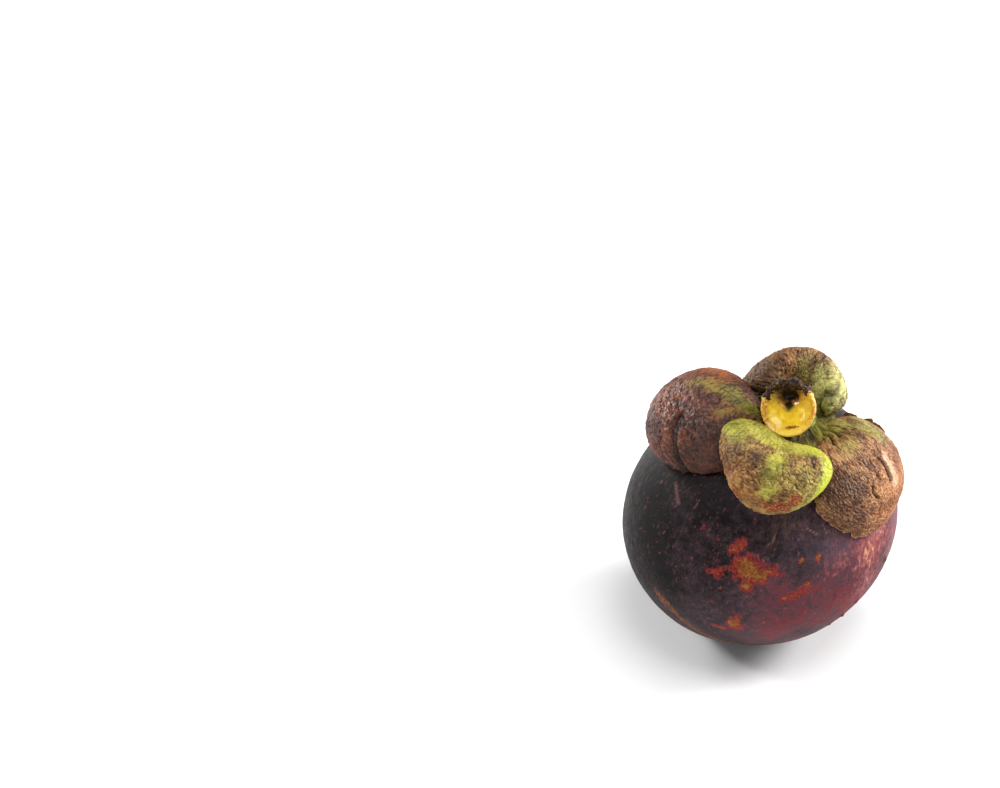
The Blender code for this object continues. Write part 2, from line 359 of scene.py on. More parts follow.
def rind_material(look):
    """Ripe rind: a thin waxy hide over cork. Dark and dull where ripest, darker still on its far left in
    painted shade, redder on its sunny side, with a thin grey wax and painted sheen on its shoulders, and
    healed insect scars that show ochre cork inside a bright red edge."""
    material, tree = new_material("ripe_waxy_rind")
    spot = add_node(tree, "TexCoord", output="Object")
    field = {
        name: add_node(tree, "Attribute", {"attribute_name": name}, output="Fac")
        for name in ("ripe_and_painted_shade", "scar", "russet", "streak", "fleck", "bloom_and_painted_sheen", "scratch")
    }
    grain_way = add_node(tree, "Attribute", {"attribute_name": "grain"}, output="Vector")
    broad, fine, tiny, fibre = (
        add_node(
            tree, "TexNoise", inputs={"Vector": way, "Scale": scale, "Detail": detail, "Roughness": grit}
        )
        for way, scale, detail, grit in (
            (spot, per_mm(11.0), 4.0, 0.5), (spot, per_mm(1.6), 6.0, 0.68), (spot, per_mm(0.5), 3.0, 0.7),
            (grain_way, 90.0, 5.0, 0.6),
        )
    )
    mixed = 0.0
    for part, share in ((tiny, 0.25), (fine, 0.40), (broad, 0.35)):
        mixed = add_node(tree, "Math", MULTIPLY_ADD, {0: part, 1: share, 2: mixed})
    # the ripeness field also carries painted shade on the far left, which darkens the skin there
    shade = add_node(tree, "Math", MULTIPLY_ADD, {0: field["ripe_and_painted_shade"], 1: 0.22, 2: mixed})
    shade = add_node(tree, "Math", {"operation": "SUBTRACT"}, {0: shade, 1: 0.05})
    dark = add_node(
        tree, "ValToRGB", inputs={0: shade},
        stops=((0.36, look.skin_dark), (0.47, look.skin_middle), (0.60, look.skin_light)),
    )
    red = add_node(
        tree, "ValToRGB", inputs={0: mixed},
        stops=((0.36, look.skin_middle), (0.47, look.ripe_red), (0.62, look.ripe_bright)),
    )
    # the red shows in patches, more of them where the fruit is riper
    share = add_node(tree, "Math", MULTIPLY_ADD, {0: broad, 1: 1.1, 2: field["ripe_and_painted_shade"]})
    share = add_node(tree, "Math", MULTIPLY_ADD, {0: fine, 1: 0.9, 2: share})
    share = add_node(tree, "MapRange", inputs={0: share, 1: 1.20, 2: 1.90, 3: 0.0, 4: 1.0})
    skin = add_node(tree, "Mix", COLOUR_MIX, {0: share, 6: dark, 7: red}, output=2)
    # a thin grey wax, with painted sheen on the shoulders
    bloom_and_painted_sheen = add_node(tree, "Math", {"operation": "MULTIPLY"}, {0: field["bloom_and_painted_sheen"], 1: broad})
    skin = add_node(tree, "Mix", COLOUR_MIX, {0: bloom_and_painted_sheen, 6: skin, 7: look.bloom_and_painted_sheen}, output=2)
    # greenish fibres down from under the calyx, and pink mottles and yellow flecks on the red
    # side, both drawn out a little from stem to tip
    lines = add_node(tree, "Math", MULTIPLY_ADD, {0: field["streak"], 1: 0.25, 2: fibre})
    drawn = add_node(tree, "VectorMath", {"operation": "MULTIPLY"}, {0: grain_way, 1: (1.0, 1.0, 6.0)})
    specks = add_node(
        tree, "TexNoise", inputs={"Vector": drawn, "Scale": 32.0, "Detail": 6.0, "Roughness": 0.75}
    )
    specks = add_node(tree, "Math", MULTIPLY_ADD, {0: field["fleck"], 1: 0.22, 2: specks})
    for mask, low, high, most, colour in (
        (lines, 0.70, 0.88, 0.50, look.fibre),
        (specks, 0.58, 0.74, 0.80, look.ripe_pink),
        (specks, 0.74, 0.84, 0.90, look.fleck),
    ):
        mask = add_node(tree, "MapRange", inputs={0: mask, 1: low, 2: high, 3: 0.0, 4: most})
        skin = add_node(tree, "Mix", COLOUR_MIX, {0: mask, 6: skin, 7: colour}, output=2)
    # short healed scratches
    scratch = add_node(tree, "Math", {"operation": "MULTIPLY"}, {0: field["scratch"], 1: 0.75})
    skin = add_node(tree, "Mix", COLOUR_MIX, {0: scratch, 6: skin, 7: linear("#8c6660")}, output=2)
    # the corky russet scar low on the left
    russet = add_node(tree, "Math", MULTIPLY_ADD, {0: fine, 1: 2.6, 2: field["russet"]})
    russet = add_node(tree, "MapRange", inputs={0: russet, 1: 1.88, 2: 2.22, 3: 0.0, 4: 0.9})
    cork = add_node(
        tree, "ValToRGB", inputs={0: tiny},
        stops=((0.32, "#3a1d14"), (0.52, "#7a4422"), (0.72, "#b47438")),
    )
    skin = add_node(tree, "Mix", COLOUR_MIX, {0: russet, 6: skin, 7: cork}, output=2)
    # healed scars: a torn red edge round flaking ochre cork
    torn = add_node(tree, "Math", MULTIPLY_ADD, {0: fine, 1: 1.1, 2: field["scar"]})
    torn = add_node(tree, "Math", MULTIPLY_ADD, {0: tiny, 1: 0.25, 2: torn})
    edge = add_node(tree, "MapRange", inputs={0: torn, 1: 0.97, 2: 1.20, 3: 0.0, 4: 0.85})
    rim = add_node(
        tree, "ValToRGB", inputs={0: tiny},
        stops=((0.32, "#5c1e1c"), (0.52, look.scar_red), (0.74, "#b84a32"))
    )
    skin = add_node(tree, "Mix", COLOUR_MIX, {0: edge, 6: skin, 7: rim}, output=2)
    core = add_node(tree, "MapRange", inputs={0: torn, 1: 1.25, 2: 1.46, 3: 0.0, 4: 0.92})
    scale = add_node(tree, "Math", MULTIPLY_ADD, {0: fine, 1: 0.6, 2: 0.0})
    scale = add_node(tree, "Math", MULTIPLY_ADD, {0: tiny, 1: 0.4, 2: scale})
    ochre = add_node(
        tree, "ValToRGB", inputs={0: scale},
        stops=((0.36, "#54280f"), (0.50, "#865024"), (0.66, look.scar_ochre)),
    )
    skin = add_node(tree, "Mix", COLOUR_MIX, {0: core, 6: skin, 7: ochre}, output=2)
    rough = add_node(tree, "MapRange", inputs={0: fine, 1: 0.3, 2: 0.7, 3: 0.42, 4: 0.62})
    rough = add_node(
        tree, "Math", {"operation": "MULTIPLY_ADD", "use_clamp": True}, {0: edge, 1: 0.15, 2: rough}
    )
    height = add_node(tree, "Math", MULTIPLY_ADD, {0: tiny, 1: 0.35, 2: fine})
    height = add_node(tree, "Math", MULTIPLY_ADD, {0: fibre, 1: 0.12, 2: height})
    height = add_node(tree, "Math", MULTIPLY_ADD, {0: core, 1: 0.5, 2: height})
    bump = add_node(tree, "Bump", inputs={"Strength": 0.60, "Distance": 0.35 * MM, "Height": height})
    shader = add_node(
        tree, "BsdfPrincipled",
        inputs={
            "Base Color": skin, "Roughness": rough, "IOR": 1.45, "Specular IOR Level": 0.11, "Normal": bump
        },
    )
    add_node(tree, "OutputMaterial", inputs={"Surface": shader})
    return material


def leaf_material(name, tones, gloss, shine, cork_size=0.60):
    """Fleshy sepal: green leaf under a cracked film of brown cork. The cork is painted lighter on its
    ridges and darker in its pits and creases, as painted light and shade, and the green comes through where
    it is youngest."""
    material, tree = new_material(name)
    spot = add_node(tree, "TexCoord", output="Object")
    field = {
        key: add_node(tree, "Attribute", {"attribute_name": key}, output="Fac")
        for key in ("relief", "rim", *MARK_FIELDS)
    }
    grain_way = add_node(tree, "Attribute", {"attribute_name": "grain"}, output="Vector")
    broad = add_node(tree, "TexNoise", inputs={"Vector": spot, "Scale": per_mm(4.0), "Detail": 4.0})
    fine = add_node(
        tree, "TexNoise",
        inputs={
            "Vector": grain_way, "Scale": 1.0 / cork_size, "Detail": 5.0, "Roughness": 0.66,
            "Distortion": 0.5,
        },
    )
    tiny = add_node(
        tree, "TexNoise", inputs={"Vector": spot, "Scale": per_mm(0.45), "Detail": 2.0, "Roughness": 0.6}
    )
    # cork tone: painted shade low in the creases, painted light high on the rounded ridges between them
    tone = 0.01
    for part, share in ((field["relief"], 0.18), (fine, 0.28), (broad, 0.44), (tiny, 0.26)):
        tone = add_node(tree, "Math", MULTIPLY_ADD, {0: part, 1: share, 2: tone})
    cork = add_node(
        tree, "ValToRGB", inputs={0: tone},
        stops=((0.41, tones[0]), (0.49, tones[1]), (0.59, tones[2]), (0.71, tones[3])),
    )
    green = add_node(
        tree, "ValToRGB", inputs={0: tone},
        stops=((0.43, tones[4]), (0.56, tones[5]), (0.70, tones[6])),
    )
    warm = add_node(tree, "Math", {"operation": "MULTIPLY"}, {0: field["warm"], 1: tone})
    cork = add_node(
        tree, "Mix", COLOUR_MIX, {0: warm, 6: cork, 7: linear("#b5682a")}, output=2
    )
    lime = add_node(tree, "Math", MULTIPLY_ADD, {0: fine, 1: 0.5, 2: field["lime"]})
    lime = add_node(tree, "MapRange", inputs={0: lime, 1: 0.45, 2: 1.05, 3: 0.0, 4: 0.9})
    green = add_node(
        tree, "Mix", COLOUR_MIX, {0: lime, 6: green, 7: linear(tones[7])}, output=2
    )
    # the green shows between the grains first, then all over
    share = add_node(tree, "Math", MULTIPLY_ADD, {0: fine, 1: 0.6, 2: field["green"]})
    share = add_node(tree, "Math", MULTIPLY_ADD, {0: broad, 1: 0.7, 2: share})
    share = add_node(tree, "MapRange", inputs={0: share, 1: 0.85, 2: 1.40, 3: 0.0, 4: 0.95})
    skin = add_node(tree, "Mix", COLOUR_MIX, {0: share, 6: cork, 7: green}, output=2)
    # pink skin where the cork has rubbed away, dark burnt-looking cork and painted shade, and torn orange
    # spots
    sore = add_node(
        tree, "ValToRGB", inputs={0: tiny}, stops=((0.35, "#5e2412"), (0.52, "#a2501f"), (0.70, "#cc8244"))
    )
    for key, grain, low, high, most, colour in (
        ("bald", 1.4, 1.05, 1.65, 0.90, linear("#dcab8a")),
        ("char_and_painted_shade", 0.9, 0.65, 1.25, 0.88, linear("#3a2217")),
        ("torn", 0.8, 0.85, 1.00, 0.95, sore),
    ):
        mask = add_node(tree, "Math", MULTIPLY_ADD, {0: fine, 1: grain, 2: field[key]})
        mask = add_node(tree, "MapRange", inputs={0: mask, 1: low, 2: high, 3: 0.0, 4: most})
        skin = add_node(tree, "Mix", COLOUR_MIX, {0: mask, 6: skin, 7: colour}, output=2)
    # a tan rim, lightened as a painted highlight along the edge
    rim = add_node(tree, "Math", {"operation": "MULTIPLY"}, {0: field["rim"], 1: fine})
    rim = add_node(tree, "MapRange", inputs={0: rim, 1: 0.20, 2: 0.45, 3: 0.0, 4: 0.8})
    skin = add_node(tree, "Mix", COLOUR_MIX, {0: rim, 6: skin, 7: linear(tones[3])}, output=2)
    # painted shade: the thin dark lines between the pebbles, and the long black creases
    pits = add_node(tree, "MapRange", inputs={0: field["relief"], 1: 0.06, 2: 0.46, 3: 0.92, 4: 0.0})
    bare = add_node(tree, "MapRange", inputs={0: share, 1: 0.0, 2: 0.8, 3: 1.0, 4: 0.22})
    pits = add_node(tree, "Math", {"operation": "MULTIPLY"}, {0: pits, 1: bare})
    skin = add_node(tree, "Mix", COLOUR_MIX, {0: pits, 6: skin, 7: linear(tones[0])}, output=2)
    crease = add_node(tree, "MapRange", inputs={0: field["crease"], 1: 0.20, 2: 0.85, 3: 0.0, 4: 0.85})
    skin = add_node(tree, "Mix", COLOUR_MIX, {0: crease, 6: skin, 7: linear("#1c100b")}, output=2)
    rough = add_node(tree, "MapRange", inputs={0: tone, 1: 0.42, 2: 0.66, 3: gloss + 0.20, 4: gloss})
    # rubbed smooth where it shines
    rough = add_node(
        tree, "Math", {"operation": "MULTIPLY_ADD", "use_clamp": True},
        {0: field["polish"], 1: -0.66 * gloss, 2: rough},
    )
    folds = add_node(
        tree, "TexNoise",
        inputs={
            "Vector": grain_way, "Scale": 1.0 / cork_size, "Detail": 1.0, "Roughness": 0.5,
            "Distortion": 0.5,
        },
    )
    height = add_node(tree, "Math", MULTIPLY_ADD, {0: fine, 1: 0.35, 2: folds})
    bump = add_node(tree, "Bump", inputs={"Strength": 1.0, "Distance": 0.55 * MM, "Height": height})
    shader = add_node(
        tree, "BsdfPrincipled",
        inputs={
            "Base Color": skin, "Roughness": rough, "IOR": 1.45, "Specular IOR Level": shine,
            "Normal": bump,
        },
    )
    add_node(tree, "OutputMaterial", inputs={"Surface": shader})
    return material


def stem_material(look):
    """Cut pedicel: wet yellow pith in the cup, browned where it dried, a black crumbling
    crust along the top of the rim, and green bark below."""
    material, tree = new_material("cut_green_stem")
    spot = add_node(tree, "TexCoord", output="Object")
    field = {
        key: add_node(tree, "Attribute", {"attribute_name": key}, output="Fac")
        for key in ("bark", "hollow", "crust", "blush", "nub", "lip", "stain")
    }
    fine = add_node(
        tree, "TexNoise", inputs={"Vector": spot, "Scale": per_mm(1.4), "Detail": 5.0, "Roughness": 0.6}
    )
    tiny = add_node(tree, "TexNoise", inputs={"Vector": spot, "Scale": per_mm(0.5), "Detail": 3.0})
    pith = add_node(
        tree, "ValToRGB", inputs={0: fine},
        stops=((0.30, "#d8ac2e"), (0.50, look.pith), (0.72, look.pith_light)),
    )
    bark = add_node(
        tree, "ValToRGB", inputs={0: fine},
        stops=((0.30, "#3c4420"), (0.50, look.bark), (0.70, "#93a04a")),
    )
    lip = add_node(tree, "Math", {"operation": "MULTIPLY"}, {0: field["lip"], 1: 0.75})
    pith = add_node(tree, "Mix", COLOUR_MIX, {0: lip, 6: pith, 7: look.lip}, output=2)
    skin = add_node(tree, "Mix", COLOUR_MIX, {0: field["bark"], 6: pith, 7: bark}, output=2)
    # a brown stain low in the cup, the orange scorch round its lip, and painted shade in the dark hollow
    for key, pattern, grain, low, high, most, colour in (
        ("stain", tiny, 1.4, 1.35, 1.60, 0.90, "#6a2c12"),
        ("blush", tiny, 0.9, 0.85, 1.15, 0.85, "#b0602a"),
        ("hollow", fine, 0.8, 0.74, 1.24, 0.97, "#1c1008"),
    ):
        mask = add_node(tree, "Math", MULTIPLY_ADD, {0: pattern, 1: grain, 2: field[key]})
        mask = add_node(tree, "MapRange", inputs={0: mask, 1: low, 2: high, 3: 0.0, 4: most})
        skin = add_node(tree, "Mix", COLOUR_MIX, {0: mask, 6: skin, 7: linear(colour)}, output=2)
    nub = add_node(tree, "Math", {"operation": "MULTIPLY"}, {0: field["nub"], 1: 0.9})
    skin = add_node(tree, "Mix", COLOUR_MIX, {0: nub, 6: skin, 7: linear("#74481f")}, output=2)
    crumb = add_node(
        tree, "ValToRGB", inputs={0: tiny}, stops=((0.40, "#0f0a08"), (0.56, "#3c2618"), (0.70, "#8a6444"))
    )
    crust = add_node(tree, "Math", MULTIPLY_ADD, {0: tiny, 1: 0.7, 2: field["crust"]})
    crust = add_node(tree, "MapRange", inputs={0: crust, 1: 0.80, 2: 0.95, 3: 0.0, 4: 1.0})
    skin = add_node(tree, "Mix", COLOUR_MIX, {0: crust, 6: skin, 7: crumb}, output=2)
    dull = add_node(tree, "Math", {"operation": "MAXIMUM"}, {0: field["bark"], 1: crust})
    rough = add_node(tree, "MapRange", inputs={0: dull, 1: 0.0, 2: 1.0, 3: 0.22, 4: 0.62})
    wet = add_node(tree, "MapRange", inputs={0: dull, 1: 0.0, 2: 0.6, 3: 0.30, 4: 0.0})
    height = add_node(tree, "Math", MULTIPLY_ADD, {0: crust, 1: tiny, 2: fine})
    bump = add_node(tree, "Bump", inputs={"Strength": 0.35, "Distance": 0.35 * MM, "Height": height})
    shader = add_node(
        tree, "BsdfPrincipled",
        inputs={
            "Base Color": skin, "Roughness": rough, "IOR": 1.45, "Normal": bump, "Specular IOR Level": 0.35,
            "Coat Weight": wet, "Coat Roughness": 0.10,
            "Subsurface Weight": 0.25, "Subsurface Radius": (1.2 * MM, 0.8 * MM, 0.25 * MM),
            "Subsurface Scale": 1.0,
        },
    )
    add_node(tree, "OutputMaterial", inputs={"Surface": shader})
    return material


def membrane_material():
    """Dried membrane: papery, brown, paler where it is thin."""
    material, tree = new_material("dried_brown_membrane")
    spot = add_node(tree, "TexCoord", output="Object")
    fine = add_node(
        tree, "TexNoise", inputs={"Vector": spot, "Scale": per_mm(0.9), "Detail": 4.0, "Roughness": 0.6}
    )
    skin = add_node(
        tree, "ValToRGB", inputs={0: fine}, stops=((0.34, "#4a2c16"), (0.52, "#85572f"), (0.68, "#bb905c"))
    )
    bump = add_node(tree, "Bump", inputs={"Strength": 0.5, "Distance": 0.2 * MM, "Height": fine})
    shader = add_node(
        tree, "BsdfPrincipled", inputs={"Base Color": skin, "Roughness": 0.6, "IOR": 1.45, "Normal": bump}
    )
    add_node(tree, "OutputMaterial", inputs={"Surface": shader})
    return material


def scar_wood_material(look):
    """Dry stigma: brown woody lobes with a fine grain, paler on the crests and darker in the grooves."""
    material, tree = new_material("dry_stigma_wood")
    spot = add_node(tree, "TexCoord", output="Object")
    relief = add_node(tree, "Attribute", {"attribute_name": "relief"}, output="Fac")
    fine = add_node(
        tree, "TexNoise", inputs={"Vector": spot, "Scale": per_mm(0.9), "Detail": 5.0, "Roughness": 0.7}
    )
    tone = add_node(tree, "Math", MULTIPLY_ADD, {0: relief, 1: 0.5, 2: fine})
    skin = add_node(
        tree, "ValToRGB", inputs={0: tone},
        stops=((0.40, "#2c1a12"), (0.75, look.wood), (1.0, "#a8825c")),
    )
    bump = add_node(tree, "Bump", inputs={"Strength": 0.6, "Distance": 0.3 * MM, "Height": fine})
    shader = add_node(
        tree, "BsdfPrincipled", inputs={"Base Color": skin, "Roughness": 0.8, "IOR": 1.45, "Normal": bump}
    )
    add_node(tree, "OutputMaterial", inputs={"Surface": shader})
    return material


# ---------------------------------------------------------------- settings


def colour_property(name, description, code):
    return bpy.props.FloatVectorProperty(
        name=name, description=description, subtype="COLOR", size=4, min=0.0, max=1.0, default=linear(code)
    )


def height_property(name, description, default):
    return bpy.props.FloatProperty(
        name=name, description=description, default=default, min=0.0, max=1.0 * MM, subtype="DISTANCE",
        unit="LENGTH", precision=5,
    )


def power_property(name, description, default):
    return bpy.props.FloatProperty(
        name=name, description=description, default=default, min=0.0, unit="POWER"
    )


class RindSettings(bpy.types.PropertyGroup):
    # the darkest skin also gives the painted shade on the far left
    skin_dark: colour_property("Darkest skin", "The ripest, shaded skin", "#0e0a0a")
    skin_middle: colour_property("Middle skin", "Most of the dark skin", "#32262a")
    skin_light: colour_property("Lightest skin", "Thin places in the dark skin", "#54424a")
    ripe_red: colour_property("Red side", "Skin on the redder side", "#50222a")
    ripe_bright: colour_property("Bright red", "Brightest red skin", "#7e2f32")
    ripe_pink: colour_property("Pink mottle", "Mottles on the red side", "#a05a58")
    # this colour also paints the sheen on the shoulders beside the sepals
    bloom_and_painted_sheen: colour_property("Bloom", "The thin grey wax", "#5e5866")
    fibre: colour_property("Fibres", "Greenish fibres under the calyx", "#6a5a34")
    fleck: colour_property("Flecks", "Yellow flecks on the red side", "#d0a066")
    scar_red: colour_property("Scar edge", "Red edge of a healed scar", "#8e2e2a")
    scar_ochre: colour_property("Scar cork", "Flaking cork inside a scar", "#9c7c3e")
    lump_height: height_property("Lump height", "Height of the broad uneven lumps of the skin", 0.10 * MM)


class CalyxSettings(bpy.types.PropertyGroup):
    relief_height: height_property("Cork relief", "Height of the cork's ridges on the sepals", 0.38 * MM)


class StemSettings(bpy.types.PropertyGroup):
    pith: colour_property("Pith", "Yellow inside of the cut stem", "#f0c424")
    pith_light: colour_property("Light pith", "Wet highlights of the pith", "#ffe650")
    lip: colour_property("Lip", "The paler orange-yellow lip of the cut", "#ffd860")
    bark: colour_property("Bark", "Green bark of the stem", "#66752f")
    wood: colour_property("Stigma", "Dry wood of the stigma rosette", "#6a4630")


class StageSettings(bpy.types.PropertyGroup):
    floor: colour_property("Floor", "The plain pale floor", "#f4f4f4")
    key_power: power_property("Key light", "Power of the large soft light at the right", 11.0)
    fill_power: power_property("Left light", "Power of the soft light at the left", 5.6)
    top_power: power_property("Top light", "Power of the soft light overhead", 5.8)
    front_power: power_property("Front light", "Power of the wide weak light in front", 1.3)


# ---------------------------------------------------------------- the pieces


# Healed scars: turn round the stem axis (0 = right, -90 = front), angle down from the stem,
# half length and half width on the skin in millimetres, slope, and how deep it healed.
SCARS = (
    (-104, 71, 3.5, 3.3, 20, 1.00), (-98, 73, 2.6, 2.8, 0, 0.95), (-111, 63, 1.7, 3.0, -20, 0.72),
    (-94, 70, 2.8, 1.8, 10, 0.66), (-101, 79, 1.7, 2.5, 20, 0.85), (-90, 71, 2.2, 1.0, 0, 0.50),
    (-79, 80, 3.9, 1.8, 32, 0.66), (-76, 76, 1.6, 1.2, 40, 0.68), (-73, 79, 1.7, 0.4, 20, 0.62),
    (-84, 83, 1.5, 0.8, 20, 0.62), (-81, 64, 0.55, 0.9, 0, 0.95), (-73, 63, 0.75, 0.95, 10, 1.05),
    (-68, 87, 0.6, 0.4, 20, 0.85), (-72, 91, 0.9, 0.35, -50, 0.80), (-88, 99, 0.5, 0.7, 20, 0.95),
    (-90, 102, 0.8, 0.4, 0, 0.80), (-100, 102, 1.7, 2.6, 0, 0.95), (-104, 109, 2.6, 0.9, 10, 0.75),
    (-97, 106, 2.0, 1.3, 0, 0.70), (-102, 95, 0.7, 0.5, 0, 0.65), (-112, 93, 0.45, 0.45, 0, 0.75),
    (-130, 63, 0.8, 1.0, 30, 0.55), (-121, 64, 0.5, 0.7, 0, 0.50), (-115, 77, 3.2, 2.4, 20, 0.52),
    (-111, 84, 0.6, 0.5, 0, 0.60), (-94, 88, 1.0, 0.4, 20, 0.62), (-60, 96, 0.5, 0.5, 0, 0.60),
    (20, 95, 1.4, 2.2, 20, 0.62), (60, 75, 2.2, 1.2, -30, 0.60), (120, 85, 0.8, 1.4, 10, 1.00),
    (124, 90, 1.6, 2.4, 10, 0.50), (150, 105, 2.6, 0.8, 25, 0.58), (165, 95, 0.8, 1.0, 0, 0.60),
)
RUSSET = ((-138, 108), (-126, 115), (-113, 123), (-100, 129), (-86, 130), (-74, 127))
SCRATCHES = (
    (0.6, ((-157, 58), (-148, 62)), 0.60), (1.0, ((-80, 50), (-74, 53)), 0.30),
    (1.0, ((-71, 49), (-69, 53)), 0.30), (0.8, ((-97, 50), (-96, 58)), 0.25),
)
# The rind's other marks: how strong, turn, down, half length and half width.
RIND_MARKS = {
    "streak": ((1.0, -93, 49, 6.0, 5.0), (0.8, -62, 52, 5.0, 4.0)),
    "fleck": (
        (1.0, -44, 69, 5.0, 6.0), (1.0, -34, 63, 4.5, 6.0), (0.6, -60, 67, 4.0, 3.0),
        (0.8, -42, 84, 4.5, 7.0), (0.7, -20, 75, 6.0, 9.0), (0.6, 110, 80, 7.0, 9.0),
    ),
    "ripe_and_painted_shade": ((1.0, -40, 82, 19.0, 22.0), (0.75, -84, 95, 14.0, 13.0), (0.7, 100, 85, 18.0, 16.0)),
    # painted shade: darkens the far left side of the skin
    "shaded": ((0.6, -172, 84, 24.0, 28.0),),
    # grey wax with painted sheen on the shoulders, beside the sepals
    "bloom_and_painted_sheen": (
        (0.3, -122, 46, 7.0, 3.0), (0.5, -65, 60, 9.0, 4.0), (1.0, -36, 54, 6.0, 4.0),
        (0.8, -12, 62, 5.0, 9.0),
    ),
    "bump": (
        (1.0, -27, 83, 0.5, 0.5), (1.0, -42, 98, 0.45, 0.45), (1.0, -47, 105, 0.7, 0.5),
        (1.0, -52, 109, 0.4, 0.4), (1.0, -60, 84, 0.3, 0.3), (1.0, -86, 58, 0.3, 0.3),
    ),
}


def marks_on_rind(n):
    """Where the rind is red or in painted shade, scarred, streaked, or grey with wax and painted sheen, one
    number a point for each.
    """
    turn = np.degrees(np.arctan2(n[:, 1], n[:, 0]))
    down = np.degrees(np.arccos(np.clip(n[:, 2], -1.0, 1.0)))
    per_degree = math.radians(1.0) * SKIN_RADIUS

    def mark(at_turn, at_down, half_length, half_width, slope=0.0):
        gap = (turn - at_turn + 180.0) % 360.0 - 180.0
        x = gap * per_degree * np.sin(np.radians(down))
        y = (at_down - down) * per_degree
        return near((x, y), (0.0, 0.0), (half_length, half_width), slope)

    fields = {
        key: np.max([strength * mark(*where) for strength, *where in listed], axis=0)
        for key, listed in RIND_MARKS.items()
    }
    # the painted shade on the far left is taken off the ripeness, darkening the skin there
    fields["ripe_and_painted_shade"] -= fields.pop("shaded")
    fields["scar"] = np.max([strength * mark(*where) for *where, strength in SCARS], axis=0)
    # a degree of turn is narrower low on the fruit, where the long marks are
    squeeze = math.sin(math.radians(118.0))
    flat = (turn * squeeze, down)

    def line(route, width):
        return along_line(flat, [(t * squeeze, d) for t, d in route], width)

    fields["russet"] = line(RUSSET, 3.7)
    fields["scratch"] = np.max(
        [strength * line(route, width) for strength, route, width in SCRATCHES], axis=0
    )
    return fields


class MANGOSTEEN_OT_rind(bpy.types.Operator):
    """Models the round rind with its scars, mottles and level resting spot"""

    bl_idname = "mangosteen.rind"
    bl_label = "Rind"

    def execute(self, context):
        look = context.scene.mangosteen_rind
        obj, n, polar, turn = start_sphere("rind_skin", 400, 216)
        base = rind_points(n)
        out = rind_normals(n)
        mm = base / MM
        lumps = speckle(mm, 7.0, 3, 0.9, 3.0)
        pores = speckle(mm, 1.5, 2, 0.7, 8.0)
        spots = marks_on_rind(n)
        lift = lumps * look.lump_height + pores * 0.018 * MM
        lift += spots["scar"] * speckle(mm, 0.9, 2, 0.6, 5.0) * 0.12 * MM + spots["bump"] * 0.5 * MM
        place(obj, base + out * lift[:, None])
        for name in ("scar", "russet", "streak", "fleck", "ripe_and_painted_shade", "bloom_and_painted_sheen", "scratch"):
            keep_field(obj, name, spots[name])
        meridian = np.stack((np.cos(turn), np.sin(turn), polar * 0.10), axis=1)
        keep_vector(obj, "grain", meridian)
        bpy.ops.object.mode_set(mode="EDIT")
        bpy.ops.mesh.select_all(action="SELECT")
        bpy.ops.mesh.bisect(
            plane_co=(0.0, 0.0, 0.0), plane_no=(0.0, 0.0, -1.0), use_fill=True, clear_outer=True,
            threshold=1e-6
        )
        bpy.ops.object.mode_set(mode="OBJECT")
        finish_piece(obj, rind_material(look), "rind")
        return {"FINISHED"}


MARK_FIELDS = ("green", "bald", "crease", "char_and_painted_shade", "torn", "lime", "warm", "polish")
GRAIN = {
    # the way the cork's ridges run from the sepal's length, in degrees, how long they are for
    # their width, their width in millimetres, their height for the usual relief, and how much
    # of it is pebbles, the rest being furrows
    "sepal_left": (60.0, 2.3, 0.84, 0.62, 0.60),
    "sepal_right": (2.0, 3.2, 0.52, 0.52, 0.50),
    "sepal_front": (25.0, 1.5, 0.80, 0.62, 0.60),
    "sepal_back": (0.0, 2.6, 0.76, 0.72, 0.55),
}
